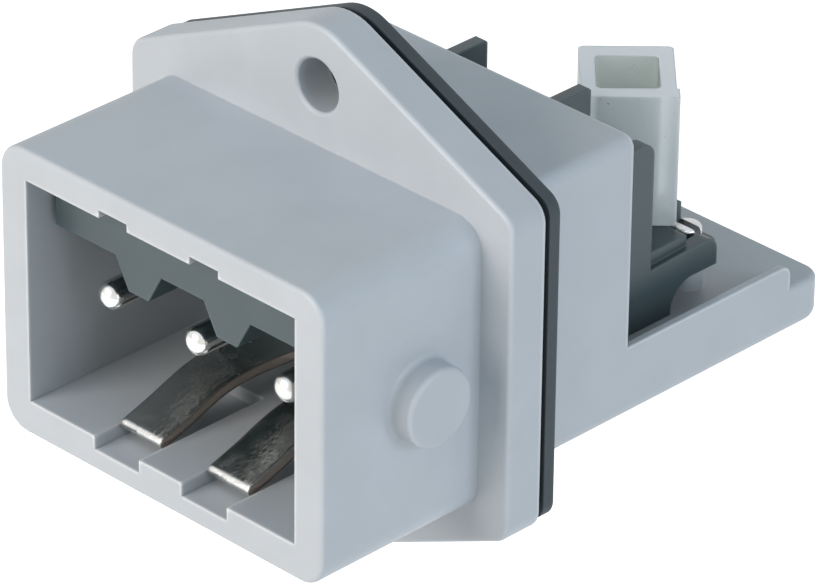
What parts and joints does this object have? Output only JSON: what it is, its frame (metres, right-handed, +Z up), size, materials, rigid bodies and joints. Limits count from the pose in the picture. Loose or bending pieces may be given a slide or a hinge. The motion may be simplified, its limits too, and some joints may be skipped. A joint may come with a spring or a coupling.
{
  "type": "panel mount power inlet connector",
  "caption": "Rectangular grey panel inlet with diamond flange, gasket, pole pins and bowed earth strips in a keyed shroud, screw terminals on a rear tray.",
  "frame": {"origin": "centre of the gasket's rear face, on the mating axis between the flange's two holes", "axes": "+Y into the panel, from the mouth to the tray; +Z up, along the line of the flange's two holes; +X to the right seen from the mouth"},
  "size_m": [0.0378, 0.0529, 0.0412],
  "materials": {
    "grey_moulding": "satin",
    "gasket_rubber": "matte",
    "black_moulding": "satin",
    "clear_moulding": "translucent",
    "plated_metal": "bright",
    "tinned_metal": "satin",
    "cage_metal": "satin",
    "screw_steel": "satin"
  },
  "bodies": {
    "inlet_body": {"housing": "grey_moulding", "flange_gasket": "gasket_rubber", "contact_carrier": "black_moulding", "earth_link": "tinned_metal", "earth_bar": "tinned_metal", "earth_strip_1": "plated_metal", "earth_strip_2": "plated_metal", "pole_pin_1": "plated_metal", "pole_bar_1": "tinned_metal", "pole_pin_2": "plated_metal", "pole_bar_2": "tinned_metal", "pole_pin_3": "plated_metal", "pole_bar_3": "tinned_metal", "carrier_screw_1": "screw_steel", "carrier_screw_2": "screw_steel"},
    "guard": {"touch_guard": "clear_moulding"},
    "screw_1": {"terminal_screw_1": "screw_steel"},
    "cage_1": {"terminal_cage_1": "cage_metal"},
    "screw_2": {"terminal_screw_2": "screw_steel"},
    "cage_2": {"terminal_cage_2": "cage_metal"},
    "screw_3": {"terminal_screw_3": "screw_steel"},
    "cage_3": {"terminal_cage_3": "cage_metal"},
    "screw_4": {"terminal_screw_4": "screw_steel"},
    "cage_4": {"terminal_cage_4": "cage_metal"}
  },
  "joints": [
    {"name": "guard_turn", "type": "hinge", "parent": "inlet_body", "child": "guard", "pos_m": [0.00415, 0.02215, 0], "axis": [0, 0, 1], "range_deg": [-45, 45]},
    {"name": "screw_1_turn", "type": "hinge", "parent": "inlet_body", "child": "screw_1", "pos_m": [-0.00795, 0.0144, 0], "axis": [0, 0, 1], "range_deg": [-1010, 0]},
    {"name": "cage_1_rise", "type": "slide", "parent": "inlet_body", "child": "cage_1", "axis": [0, 0, 1], "range_m": [0, 0.0014]},
    {"name": "screw_2_turn", "type": "hinge", "parent": "inlet_body", "child": "screw_2", "pos_m": [-0.0025, 0.0144, 0], "axis": [0, 0, 1], "range_deg": [-1010, 0]},
    {"name": "cage_2_rise", "type": "slide", "parent": "inlet_body", "child": "cage_2", "axis": [0, 0, 1], "range_m": [0, 0.0014]},
    {"name": "screw_3_turn", "type": "hinge", "parent": "inlet_body", "child": "screw_3", "pos_m": [0.00795, 0.0144, 0], "axis": [0, 0, 1], "range_deg": [-1010, 0]},
    {"name": "cage_3_rise", "type": "slide", "parent": "inlet_body", "child": "cage_3", "axis": [0, 0, 1], "range_m": [0, 0.0014]},
    {"name": "screw_4_turn", "type": "hinge", "parent": "inlet_body", "child": "screw_4", "pos_m": [0.0025, 0.0144, 0], "axis": [0, 0, 1], "range_deg": [-1010, 0]},
    {"name": "cage_4_rise", "type": "slide", "parent": "inlet_body", "child": "cage_4", "axis": [0, 0, 1], "range_m": [0, 0.0014]}
  ],
  "couplings": [
    {"joint": "screw_1_turn", "follows": "cage_1_rise", "rad_per_m": -12566},
    {"joint": "screw_2_turn", "follows": "cage_2_rise", "rad_per_m": -12566},
    {"joint": "screw_3_turn", "follows": "cage_3_rise", "rad_per_m": -12566},
    {"joint": "screw_4_turn", "follows": "cage_4_rise", "rad_per_m": -12566}
  ]
}
